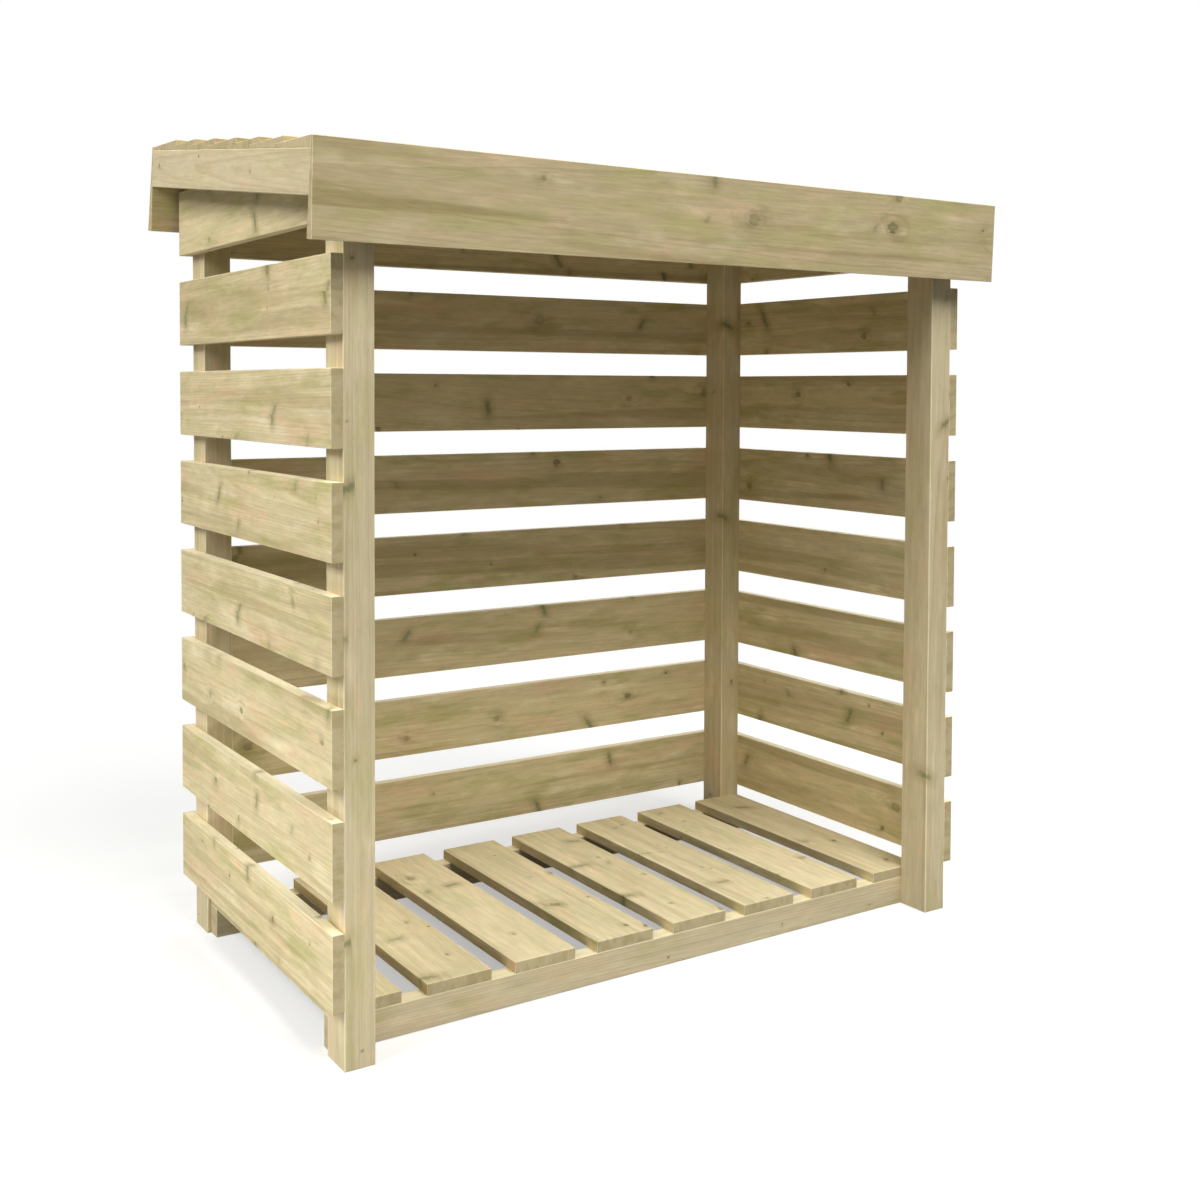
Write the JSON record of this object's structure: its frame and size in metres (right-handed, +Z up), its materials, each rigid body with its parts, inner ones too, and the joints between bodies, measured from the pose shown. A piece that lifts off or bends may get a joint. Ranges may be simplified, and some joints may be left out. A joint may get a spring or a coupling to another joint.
{
  "type": "log store",
  "caption": "Open-fronted slatted timber log store with corner posts, a raised slatted floor and a lapped board roof that slopes down to the front behind deep fascias.",
  "frame": {"origin": "on the ground, at the middle of the store's outline", "axes": "+Z up, +X to the store's right as seen from its open front, +Y towards its back wall"},
  "size_m": [1.164, 0.6826, 1.2238],
  "materials": {
    "framing": "pressure-treated softwood, planed framing stock",
    "wall_slat": "pressure-treated softwood, planed slats",
    "feather_edge": "pressure-treated softwood, feather-edge boards"
  },
  "bodies": {
    "root": {"post_front_left": "framing", "post_front_right": "framing", "post_rear_left": "framing", "post_rear_right": "framing", "left_slat_1": "wall_slat", "left_slat_2": "wall_slat", "left_slat_3": "wall_slat", "left_slat_4": "wall_slat", "left_slat_5": "wall_slat", "left_slat_6": "wall_slat", "left_slat_7": "wall_slat", "left_slat_8": "wall_slat", "right_slat_1": "wall_slat", "right_slat_2": "wall_slat", "right_slat_3": "wall_slat", "right_slat_4": "wall_slat", "right_slat_5": "wall_slat", "right_slat_6": "wall_slat", "right_slat_7": "wall_slat", "right_slat_8": "wall_slat", "back_board_1": "wall_slat", "back_board_2": "wall_slat", "back_board_3": "wall_slat", "back_board_4": "wall_slat", "back_board_5": "wall_slat", "back_board_6": "wall_slat", "back_board_7": "wall_slat", "back_board_8": "wall_slat", "floor_bearer_front": "framing", "floor_bearer_rear": "framing", "floor_slats": "wall_slat", "roof_rail_left": "framing", "roof_rail_right": "framing", "roof_board_1": "feather_edge", "roof_board_2": "feather_edge", "roof_board_3": "feather_edge", "roof_board_4": "feather_edge", "roof_board_5": "feather_edge", "roof_board_6": "feather_edge", "roof_board_7": "feather_edge", "fascia_front": "feather_edge", "fascia_back": "feather_edge"}
  },
  "joints": []
}
